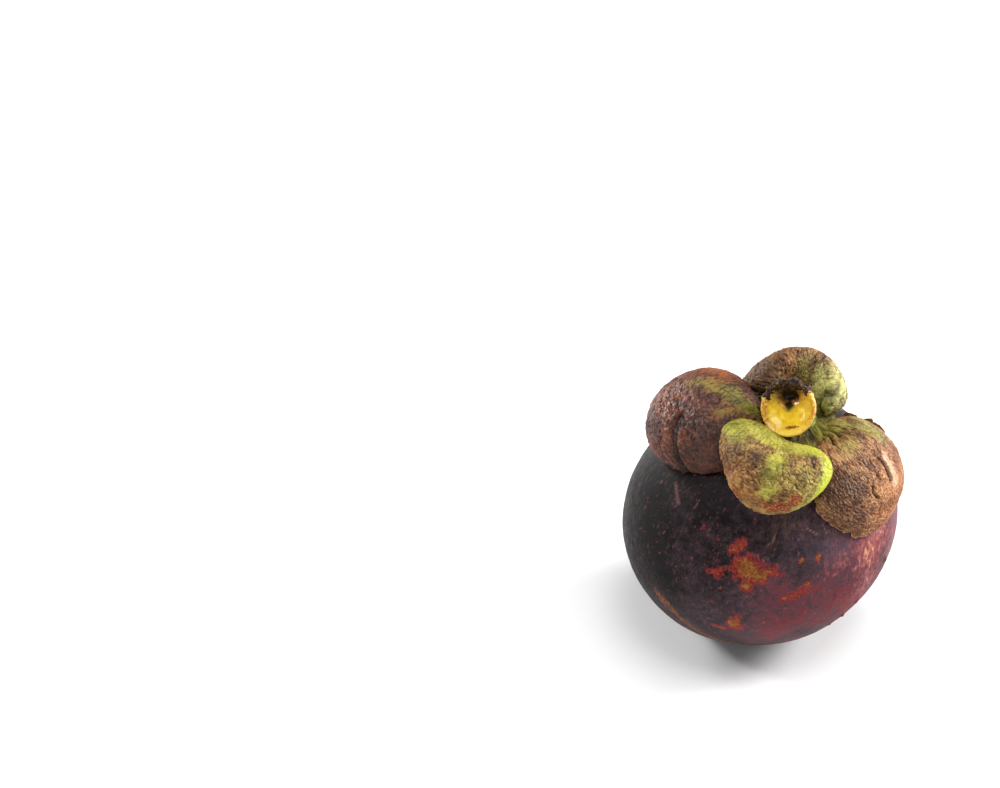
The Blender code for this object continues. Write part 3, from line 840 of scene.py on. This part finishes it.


# Marks on each sepal in its own -1 to 1 coordinates, q outwards from the stem and p
# counter-clockwise round it: how strong, then a middle with its half length and half width,
# or a route with its width.
# The dark marks are burnt cork and painted shade together, darkest where the sepals lie in shade.
SEPAL_MARKS = {
    "sepal_left": {
        "green": (
            (0.70, ((-1.1, 0.35), (-0.65, 0.05), (-0.45, -0.12)), 0.24),
            (0.42, ((-0.45, -0.12), (0.05, -0.26)), 0.20), (0.34, (-0.45, 0.30), (0.35, 0.30)),
        ),
        "crease": ((1.1, ((0.22, 0.24), (0.36, 0.37), (0.46, 0.50), (0.54, 0.66), (0.58, 0.82)), 0.042),),
        "char_and_painted_shade": ((0.68, (0.1, 0.80), (0.9, 0.45)), (0.58, (0.0, 0.30), (0.4, 0.28))),
        "warm": ((0.30, (0.15, -0.62), (0.5, 0.28)), (0.5, (-0.2, -0.60), (0.3, 0.18))),
        "polish": ((1.0, (0.40, 0.02), (0.38, 0.38)), (0.8, (0.25, 0.40), (0.34, 0.40))),
    },
    "sepal_right": {
        "green": (
            (0.85, (-1.0, 0.15), (0.42, 0.60)), (0.80, ((-0.85, 0.28), (-0.45, 0.36), (-0.10, 0.40)), 0.17),
            (0.52, (-0.55, -0.15), (0.24, 0.40)), (0.40, (0.10, 0.48), (0.24, 0.14)),
            (0.74, (-0.35, 0.68), (0.50, 0.24)),
        ),
        "bald": (
            (1.05, ((0.02, 0.07), (0.20, 0.05), (0.40, -0.01)), 0.105), (0.36, (0.25, 0.02), (0.45, 0.34))
        ),
        "polish": ((0.75, (0.20, 0.0), (0.42, 0.40)),),
        "crease": (
            (1.0, ((-0.07, -0.02), (0.02, -0.01), (0.11, -0.03), (0.22, -0.05), (0.34, -0.08)), 0.027),
            (0.9, ((0.17, -0.38), (0.27, -0.42), (0.37, -0.40)), 0.020),
            (0.6, ((-0.15, 0.10), (-0.09, 0.08), (-0.03, 0.10)), 0.022),
            (0.5, ((0.0, -0.22), (0.14, -0.24), (0.22, -0.21)), 0.016),
            (0.8, ((-1.1, -0.10), (-0.85, -0.22), (-0.72, -0.38)), 0.028),
            (0.8, ((-1.1, 0.10), (-0.88, 0.00), (-0.74, -0.12)), 0.024),
            (0.7, ((-1.1, 0.32), (-0.86, 0.22), (-0.72, 0.14)), 0.022),
        ),
        "char_and_painted_shade": (
            (0.60, ((-0.10, -0.95), (0.35, -0.92), (0.60, -0.84)), 0.26),
            (0.70, (-0.46, 0.10), (0.13, 0.08)),
            (0.60, (-0.05, -0.38), (0.09, 0.06)), (0.42, (-0.20, -0.25), (0.16, 0.14)),
            (0.34, (-0.10, 0.02), (0.10, 0.14)), (0.76, (0.04, -0.66), (0.38, 0.26)),
            (0.58, (0.50, -0.70), (0.28, 0.20)),
        ),
        "warm": ((0.6, (0.40, 0.05), (0.35, 0.45)), (0.5, (0.75, -0.2), (0.3, 0.7))),
    },
    "sepal_front": {
        "green": (
            (0.74, (0.10, 0.04), (0.60, 0.22)), (0.62, (0.58, 0.08), (0.32, 0.18)),
            (0.40, (0.30, 0.50), (0.60, 0.40)), (0.30, (-0.05, -0.62), (0.5, 0.3)),
            (0.5, (0.72, 0.62), (0.25, 0.20)),
        ),
        "lime": ((0.6, (-0.60, 0.62), (0.22, 0.30)), (0.34, (0.10, 0.05), (0.40, 0.16))),
        "char_and_painted_shade": (
            (0.80, (0.10, -0.26), (0.22, 0.16)), (0.62, (0.27, -0.06), (0.12, 0.09)),
            (0.50, (-0.22, -0.50), (0.16, 0.13)), (1.0, (-0.28, 0.56), (0.10, 0.07)),
            (0.58, (0.25, -0.62), (0.50, 0.26)), (0.40, (0.14, 0.46), (0.32, 0.14)),
            (0.45, (0.92, -0.1), (0.12, 0.4)),
        ),
        "torn": (
            (1.5, (0.66, 0.49), (0.12, 0.09)), (1.4, (0.84, 0.36), (0.08, 0.14)),
            (1.1, (0.92, 0.22), (0.07, 0.15)), (0.6, (0.93, -0.28), (0.07, 0.10)),
        ),
        "polish": ((0.8, (0.0, 0.85), (0.6, 0.22)),),
        "warm": ((0.5, (0.55, -0.55), (0.4, 0.3)), (0.6, (0.85, -0.3), (0.15, 0.5))),
    },
    "sepal_back": {
        "green": (
            (0.95, (-0.30, -1.08), (0.60, 0.50)), (0.70, (-0.85, -0.70), (0.34, 0.34)),
            (0.40, (-0.9, -0.1), (0.3, 0.5)), (0.42, (0.1, -0.55), (0.5, 0.35)),
        ),
        "crease": ((0.8, ((-0.36, -1.05), (-0.50, -1.02), (-0.64, -0.96)), 0.035),),
        "char_and_painted_shade": (
            (0.70, (-0.1, 0.80), (0.7, 0.5)), (0.6, (-0.45, -0.98), (0.2, 0.08)),
            (0.75, (-0.30, -0.98), (0.16, 0.12)), (0.5, (0.0, -1.08), (0.12, 0.12)),
        ),
        "warm": ((0.5, (-0.1, 0.3), (0.6, 0.3)),),
    },
}


def marks_on_sepal(name, q, p):
    """Where a sepal is green, bare, burnt or in painted shade, torn, creased or rubbed smooth, one number a
    point for each.
    """
    marks = {key: np.zeros(len(q)) for key in MARK_FIELDS}
    for key, listed in SEPAL_MARKS[name].items():
        for strength, place_at, size in listed:
            shape = along_line if isinstance(size, float) else near
            marks[key] = np.maximum(marks[key], strength * shape((q, p), place_at, size))
    if name == "sepal_front":
        # green along its right band, on its left lobe and by the stem
        bands = (
            ease(0.58, 0.78, p) * ease(0.98, 0.72, q), 0.90 * ease(-0.42, -0.72, p) * ease(0.24, -0.14, q),
            0.80 * ease(-0.20, -0.42, q),
        )
        marks["green"] = np.max([marks["green"], *bands], axis=0)
        tips = (
            0.9 * ease(0.66, 0.82, p) * ease(0.85, 0.55, q),
            0.30 * ease(-0.60, -0.9, p) * ease(0.1, -0.2, q)
        )
        marks["lime"] = np.max([marks["lime"], *tips], axis=0)
    return marks


def build_sepal(context, name, material, segments=320, rings=172, upper=0.74):
    """Shapes a sphere into one sepal: its upper part is the outer face and the rest folds under."""
    settings = context.scene.mangosteen_calyx
    s = SEPALS[name]
    obj, _, polar, theta = start_sphere(name + "_leaf", segments, rings)
    split = math.pi * upper
    under = (polar > split + 1e-4).astype(float)
    rho = np.where(under > 0.0, (math.pi - polar) / (math.pi - split), polar / split)
    rho = np.clip(rho, 0.0, 1.0)
    points, q, p, along, across = sepal_shape(s, rho, theta, under)
    place(obj, points)
    out = normals_of(obj)
    angle, stretch, width, height, pebbly = GRAIN[name]
    c, d = math.cos(math.radians(angle)), math.sin(math.radians(angle))
    mm = points / MM
    depth = (mm - mm.mean(axis=0)) @ np.array(UP)
    grain = np.stack(((along * c + across * d) / stretch, across * c - along * d, depth), axis=1)
    grain += 17.0 * list(SEPALS).index(name)
    furrows = np.clip(np.abs(speckle(grain, width * 1.7, 3, 0.7, 11.0)) / 0.22, 0.0, 1.0) ** 0.7
    lumps = pebbly * pebbles(grain / width) + (1.0 - pebbly) * furrows
    wrinkles = speckle(grain, width * 0.7, 3, 0.7)
    swell = speckle(mm, 4.5, 2, 0.9, 2.0)
    marks = marks_on_sepal(name, q, p)
    smooth = np.clip(0.62 * marks["green"] + 0.35 * marks["lime"] + 0.7 * marks["bald"], 0.0, 0.92)
    height = height * (0.70 + 0.55 * marks["polish"]) if name == "sepal_left" else height
    ridges = height * (1.0 - smooth) * (1.0 - 0.7 * under) * (1.5 * lumps - 1.0 + 0.55 * wrinkles)
    lift = ridges * settings.relief_height + swell * 0.14 * MM
    lift -= marks["crease"] * (0.62 if name == "sepal_right" else 0.75) * MM
    if name == "sepal_right":
        lift += 0.30 * MM * along_line((q, p), ((-0.04, 0.025), (0.12, 0.015), (0.34, -0.035)), 0.020)
    place(obj, points + out * lift[:, None])
    keep_vector(obj, "grain", grain)
    # the relief paints light on the ridges and shade in the creases in the material
    keep_field(obj, "relief", np.clip(lumps + 0.2 * wrinkles, 0.0, 1.0))
    # the rim field places a painted highlight along the sepal's edge
    keep_field(obj, "rim", ease(0.93, 0.99, rho) * (1.0 - under))
    for key, values in marks.items():
        keep_field(obj, key, values)
    finish_piece(obj, material, name)
    return obj


class MANGOSTEEN_OT_outer_sepals(bpy.types.Operator):
    """Models the two outer sepals, low corky domes lying on the shoulder"""

    bl_idname = "mangosteen.outer_sepals"
    bl_label = "Outer sepals"

    def execute(self, context):
        left = leaf_material(
            "corky_sepal_red_brown",
            ("#0a0201", "#240c05", "#421a0a", "#7c3e1e", "#2c280a", "#565018", "#88822a", "#8f9234"), 0.56,
            0.44,
        )
        right = leaf_material(
            "corky_sepal_golden",
            ("#160904", "#3c1f0e", "#6c3e1e", "#bc8a5c", "#353010", "#6a6026", "#9c9044", "#a6a24a"), 0.38,
            0.30,
        )
        build_sepal(context, "sepal_left", left)
        build_sepal(context, "sepal_right", right)
        return {"FINISHED"}


class MANGOSTEEN_OT_inner_sepals(bpy.types.Operator):
    """Models the two inner sepals, puffed cushions rolled round the stem"""

    bl_idname = "mangosteen.inner_sepals"
    bl_label = "Inner sepals"

    def execute(self, context):
        front = leaf_material(
            "corky_sepal_lime",
            ("#180b04", "#42260f", "#6c4620", "#ac884c", "#46440f", "#827c26", "#b2ab44", "#c0c636"), 0.36,
            0.32,
        )
        back = leaf_material(
            "corky_sepal_olive",
            ("#120903", "#33200f", "#5c3e20", "#9e7647", "#5a5624", "#989254", "#ccc874", "#c8ca64"), 0.40,
            0.28,
        )
        build_sepal(context, "sepal_front", front)
        build_sepal(context, "sepal_back", back)
        return {"FINISHED"}


def smooth_profile(places, values, at, passes=3):
    """Values along a turned profile, with its corners eased."""
    fine = np.linspace(0.0, 1.0, 241)
    line = np.interp(fine, places, values)
    for _ in range(passes):
        padded = np.concatenate((line[1:3][::-1], line, line[-3:-1][::-1]))
        line = np.convolve(padded, (0.1, 0.2, 0.4, 0.2, 0.1), mode="valid")
    line[0], line[-1] = values[0], values[-1]
    return np.interp(at, fine, line)


class MANGOSTEEN_OT_stem(bpy.types.Operator):
    """Models the cut stem: a green neck flared to a yellow cup with a hollow darkened by painted shade"""

    bl_idname = "mangosteen.stem"
    bl_label = "Stem"

    def execute(self, context):
        look = context.scene.mangosteen_stem
        obj, n, polar, turn = start_sphere("stem_cut_end", 176, 150)
        t = polar / math.pi
        end, neck, foot, top, cup = 6.2, 4.5, 5.8, STEM_HEIGHT, 2.5
        # from the middle of the cup, over the lip and down to the foot
        stations = (
            0.0, 0.10, 0.20, 0.28, 0.335, 0.375, 0.42, 0.47, 0.53, 0.62, 0.72, 0.80, 0.86, 0.90, 0.94, 1.0
        )
        radii = (
            0.0, 0.25 * end, 0.52 * end, 0.74 * end, 0.86 * end, 0.93 * end, 0.985 * end, 1.0 * end,
            0.97 * end, 0.86 * end, 1.02 * neck, 0.97 * neck, 1.05 * neck, 0.96 * foot, 0.96 * foot, 0.0
        )
        levels = (
            top - cup, top - cup, top - 0.92 * cup, top - 0.62 * cup, top - 0.20 * cup, top, top - 0.15,
            0.91 * top, 0.84 * top, 0.70 * top, 0.52 * top, 0.36 * top, 0.22 * top, 0.08 * top, 0.0, 0.0
        )
        r = smooth_profile(stations, radii, t, 2)
        z = smooth_profile(stations, levels, t, 2)
        x, y = r * np.cos(turn), r * np.sin(turn)
        inner = 1.0 - ease(0.34, 0.42, t)
        # painted shade over the hollow, reaching up to the crust
        hollow = np.maximum(
            near((x, y), (0.0, 3.5), (3.6, 3.0)), near((x, y), (-0.3, 1.2), (1.8, 2.0))
        ) * inner
        pit = near((x, y), (0.0, 2.6), (2.1, 1.9)) * inner
        nub = near((x, y), (0.7, 1.9), (0.8, 0.7)) * inner
        z = z - 1.1 * ease(0.2, 0.9, pit) + 0.7 * nub
        upper = np.clip(np.sin(turn), 0.0, 1.0)
        on_lip = ease(0.24, 0.32, t) * (1.0 - ease(0.50, 0.60, t))
        crust = ease(0.30, 0.58, upper) * on_lip
        base = over_rind(np.array([STEM_FOOT[0]]), np.array([STEM_FOOT[1]]), np.array([0.45]))[0]
        share = np.clip(z / top, 0.0, 1.1)
        rises, faces = np.array(STEM_RISES), np.array(STEM_FACES)
        spine = (rises * share[:, None] + (faces - rises) * (share ** 2 / 2.0)[:, None]) * top * MM
        points = np.empty((len(n), 3))
        flat = (np.stack((x, y, np.zeros(len(x))), axis=1) * MM) @ TURN.T
        for i in range(len(n)):
            heading = STEM_RISES.lerp(STEM_FACES, share[i]).normalized()
            leaning = UP.lerp(heading, min(1.0, share[i] / 0.35)).normalized()
            points[i] = UP.rotation_difference(leaning) @ Vector(flat[i])
        points += base + spine
        place(obj, points)
        out = normals_of(obj)
        mm = points / MM
        crumbs = speckle(mm, 1.15, 3, 0.6, 4.0)
        waves = speckle(mm, 2.6, 2, 0.8, 6.0)
        bark = ease(0.50, 0.58, t)
        pleats = speckle(
            np.stack((3.0 * np.cos(turn), 3.0 * np.sin(turn), z * 0.25), axis=1), 1.1, 2, 0.8, 9.0
        )
        furrows = bark * pleats * 0.16 * (1.0 - ease(0.9, 0.96, t))
        lift = waves * 0.12 + crust * (0.25 + 0.70 * crumbs) + furrows
        place(obj, points + out * (lift * MM)[:, None])
        keep_field(obj, "bark", bark)
        keep_field(obj, "hollow", hollow)
        keep_field(obj, "nub", ease(0.35, 0.9, nub))
        keep_field(obj, "lip", ease(0.27, 0.32, t) * (1.0 - ease(0.46, 0.54, t)))
        stained = near((x, y), (0.3, -4.0), (2.6, 0.7)) * (1.0 - ease(0.36, 0.42, t))
        keep_field(obj, "stain", stained)
        keep_field(obj, "crust", crust * (0.75 + 0.35 * crumbs))
        sides = np.abs(np.cos(turn)) ** 2
        scorch = near((x, y), (0.2, 3.4), (5.2, 3.6)) * (1.0 - ease(0.55, 0.75, t))
        keep_field(
            obj, "blush",
            np.maximum(on_lip * (0.58 * sides + 0.28 * np.clip(-np.sin(turn), 0.0, 1.0)), 0.80 * scorch),
        )
        finish_piece(obj, stem_material(look), "stem")
        return {"FINISHED"}


class MANGOSTEEN_OT_calyx_base(bpy.types.Operator):
    """Models the low pleated green cushion where the sepals grow together round the stem"""

    bl_idname = "mangosteen.calyx_base"
    bl_label = "Calyx base"

    def execute(self, context):
        obj, n, polar, turn = start_sphere("calyx_base", 160, 60)
        flat = np.sin(polar)
        over = np.cos(polar)
        reach = (9.4 + 0.9 * np.cos(2.0 * turn + 0.4) + 0.5 * np.sin(3.0 * turn)) * flat
        reach *= 1.0 + 0.35 * np.exp(2.5 * (np.cos(turn - math.radians(140.0)) - 1.0))
        x = STEM_FOOT[0] + reach * np.cos(turn)
        y = STEM_FOOT[1] + reach * np.sin(turn)
        pleats = speckle(
            np.stack((6.0 * np.cos(turn), 6.0 * np.sin(turn), reach * 0.35), axis=1), 1.2, 2, 0.8, 1.0
        )
        crown = np.clip(1.0 - (reach / 10.6) ** 2, 0.0, 1.0)
        height = np.where(over > 0.0, 0.35 + 2.1 * crown + 0.42 * pleats * ease(0.0, 0.6, crown), 0.2)
        points = over_rind(x, y, height)
        place(obj, points)
        grain = np.stack((reach * 0.4, 9.0 * np.cos(turn), 9.0 * np.sin(turn)), axis=1)
        keep_vector(obj, "grain", grain)
        # the relief and crease fields paint light on the pleats and shade in the hollows between them
        keep_field(obj, "relief", np.clip(0.5 + 0.6 * pleats, 0.0, 1.0))
        keep_field(obj, "green", 0.50 * np.ones(len(n)))
        keep_field(obj, "crease", ease(0.25, 0.8, -pleats) * 0.8)
        for key in ("bald", "char_and_painted_shade", "torn", "lime", "rim", "warm", "polish"):
            keep_field(obj, key, np.zeros(len(n)))
        base = leaf_material(
            "green_calyx_base",
            ("#0e0803", "#2b1c08", "#4d380f", "#735a1c", "#222306", "#48470f", "#747018", "#78741c"), 0.60,
            0.18,
        )
        finish_piece(obj, base)
        return {"FINISHED"}


class MANGOSTEEN_OT_membrane(bpy.types.Operator):
    """Models the thin torn membrane that has dried along the back edge of the right sepal"""

    bl_idname = "mangosteen.membrane"
    bl_label = "Dried membrane"

    def execute(self, context):
        bpy.ops.object.select_all(action="DESELECT")
        bpy.ops.mesh.primitive_grid_add(
            x_subdivisions=150, y_subdivisions=10, size=2.0, location=(0.0, 0.0, 0.0), calc_uvs=False
        )
        obj = context.object
        obj.name = "dried_membrane"
        flat = points_of(obj)
        bearing, up = 103.0 - 27.0 * flat[:, 0], (flat[:, 1] + 1.0) / 2.0
        rho = np.interp(
            bearing, (76.0, 82.0, 90.0, 100.0, 108.0, 119.0, 126.0, 130.0),
            (0.50, 0.52, 0.58, 0.58, 0.61, 0.71, 0.82, 0.88),
        )
        foot, _, _, along, _ = sepal_shape(
            SEPALS["sepal_right"], rho + 0.03, np.radians(bearing), np.zeros(len(rho))
        )
        tall = 0.62 * ease(76.0, 80.0, bearing) * (1.0 - ease(103.0, 108.0, bearing)) + 0.95 * near(
            (bearing, 0.0 * bearing), (121.0, 0.0), (4.5, 1.0)
        )
        torn = speckle(np.stack((along, 0.0 * along, 0.0 * along), axis=1), 1.2, 3, 0.5, 5.0)
        tall = np.clip(tall * (1.0 + 0.55 * torn), 0.0, 2.2)
        away = unit(foot - FRUIT_CENTRE)
        curl = 0.35 * up * up * np.sin(along * 2.1)
        side = np.array(RIGHT)
        points = foot + away * ((-0.35 + (0.35 + tall) * up) * MM)[:, None] + side * (curl * MM)[:, None]
        place(obj, points)
        bpy.ops.object.modifier_add(type="SOLIDIFY")
        obj.modifiers[-1].thickness = 0.16 * MM
        bpy.ops.object.modifier_apply(modifier=obj.modifiers[-1].name)
        finish_piece(obj, membrane_material())
        return {"FINISHED"}


class MANGOSTEEN_OT_stigma(bpy.types.Operator):
    """Models the woody rosette at the blossom end, one lobe for each segment inside"""

    bl_idname = "mangosteen.stigma"
    bl_label = "Stigma rosette"

    def execute(self, context):
        obj, n, _, turn = start_sphere("stigma_lobes", 144, 60)
        side = np.cross(APEX, (0.0, 1.0, 0.0))
        side /= np.linalg.norm(side)
        other = np.cross(APEX, side)
        flat = np.hypot(n[:, 0], n[:, 1])
        lobed = 0.78 + 0.22 * np.sqrt(np.abs(np.cos(SEGMENTS * turn / 2.0)))
        reach = 5.4 * MM * lobed * flat / CHART_RADIUS
        way = APEX + (np.outer(np.cos(turn), side) + np.outer(np.sin(turn), other)) * np.tan(reach)[:, None]
        way = unit(way)
        grooves = np.exp(-((np.cos(SEGMENTS * turn / 2.0) / 0.22) ** 2)) * ease(0.15, 0.5, flat)
        dish = 0.25 * np.exp(-((flat / 0.25) ** 2))
        height = 0.35 + 0.45 * (1.0 + n[:, 2]) * (1.0 - 0.35 * grooves - dish)
        points = rind_points(way) + rind_normals(way) * (height * MM)[:, None]
        place(obj, points)
        grit = speckle(points / MM, 0.8, 3, 0.6, 2.0)
        place(obj, points + normals_of(obj) * (grit * 0.06 * MM)[:, None])
        keep_field(obj, "relief", np.clip(0.5 + 0.5 * grit - 0.5 * grooves, 0.0, 1.0))
        finish_piece(
            obj, scar_wood_material(context.scene.mangosteen_stem), "stigma_rosette"
        )
        return {"FINISHED"}


class MANGOSTEEN_OT_stage(bpy.types.Operator):
    """Sets a plain pale floor, soft studio lights and the camera"""

    bl_idname = "mangosteen.stage"
    bl_label = "Stage"

    def execute(self, context):
        look = context.scene.mangosteen_stage
        bpy.ops.object.select_all(action="DESELECT")
        bpy.ops.mesh.primitive_circle_add(
            vertices=96, radius=0.95, fill_type="NGON", location=(0.0, 0.0, 0.0)
        )
        floor = context.object
        floor.name = "studio_floor"
        material, tree = new_material("matt_white_paper")
        shader = add_node(tree, "BsdfPrincipled", inputs={"Base Color": look.floor, "Roughness": 0.9})
        add_node(tree, "OutputMaterial", inputs={"Surface": shader})
        floor.data.materials.append(material)

        world = bpy.data.worlds.new("studio_air")
        world.use_nodes = True
        # a pale backdrop all round, darker overhead
        air = world.node_tree
        away = add_node(
            air, "SeparateXYZ", inputs={0: add_node(air, "TexCoord", output="Generated")}, output=2
        )
        level = add_node(
            air, "MapRange", {"interpolation_type": "SMOOTHSTEP"},
            {0: away, 1: 0.07, 2: 0.28, 3: 0.95, 4: 0.14},
        )
        air.nodes["Background"].inputs["Color"].default_value = (1.0, 1.0, 1.0, 1.0)
        air.links.new(level, air.nodes["Background"].inputs["Strength"])
        context.scene.world = world

        lights = (
            ("key_right", (0.74, 0.24, 0.42), 0.34, look.key_power),
            ("soft_left", (-0.54, 0.60, 0.30), 0.25, look.fill_power),
            ("small_left", (-0.62, 0.02, 0.50), 0.12, 0.36 * look.fill_power),
            ("soft_top", (0.12, -0.10, 1.02), 0.60, look.top_power),
            ("soft_front", (-0.10, -1.10, 0.60), 0.90, look.front_power),
        )
        for name, place_at, size, power in lights:
            bpy.ops.object.light_add(type="AREA", location=place_at)
            lamp = context.object
            lamp.name = name
            lamp.data.size = size
            lamp.data.energy = power
            aim = LIGHTS_AIM_AT - Vector(place_at)
            lamp.rotation_euler = aim.to_track_quat("-Z", "Y").to_euler()

        bpy.ops.object.camera_add(location=CAMERA_PLACE, rotation=(CAMERA_TILT, 0.0, 0.0))
        camera = context.object
        camera.name = "studio_camera"
        camera.data.lens = 100.0
        camera.data.sensor_width = 36.0
        context.scene.camera = camera
        context.scene.view_settings.view_transform = "Standard"
        return {"FINISHED"}


class MANGOSTEEN_PT_panel(bpy.types.Panel):
    """Lists the fruit's pieces and their main settings"""

    bl_idname = "MANGOSTEEN_PT_panel"
    bl_label = "Mangosteen"
    bl_space_type = "VIEW_3D"
    bl_region_type = "UI"
    bl_category = "Mangosteen"

    def draw(self, context):
        for step in STEPS:
            self.layout.operator(step.bl_idname)
        for group in GROUPS:
            settings = getattr(context.scene, group)
            for name in settings.__annotations__:
                self.layout.prop(settings, name)


GROUPS = {
    "mangosteen_rind": RindSettings,
    "mangosteen_calyx": CalyxSettings,
    "mangosteen_stem": StemSettings,
    "mangosteen_stage": StageSettings,
}
STEPS = (
    MANGOSTEEN_OT_rind,
    MANGOSTEEN_OT_outer_sepals,
    MANGOSTEEN_OT_inner_sepals,
    MANGOSTEEN_OT_calyx_base,
    MANGOSTEEN_OT_membrane,
    MANGOSTEEN_OT_stem,
    MANGOSTEEN_OT_stigma,
    MANGOSTEEN_OT_stage,
)


def register():
    for cls in (*GROUPS.values(), *STEPS, MANGOSTEEN_PT_panel):
        bpy.utils.register_class(cls)
    for name, cls in GROUPS.items():
        setattr(bpy.types.Scene, name, bpy.props.PointerProperty(type=cls))


def unregister():
    for name in GROUPS:
        delattr(bpy.types.Scene, name)
    for cls in reversed((*GROUPS.values(), *STEPS, MANGOSTEEN_PT_panel)):
        bpy.utils.unregister_class(cls)


def main():
    register()
    bpy.ops.mangosteen.rind()
    bpy.ops.mangosteen.outer_sepals()
    bpy.ops.mangosteen.inner_sepals()
    bpy.ops.mangosteen.calyx_base()
    bpy.ops.mangosteen.membrane()
    bpy.ops.mangosteen.stem()
    bpy.ops.mangosteen.stigma()
    bpy.ops.mangosteen.stage()


if __name__ == "__main__":
    main()
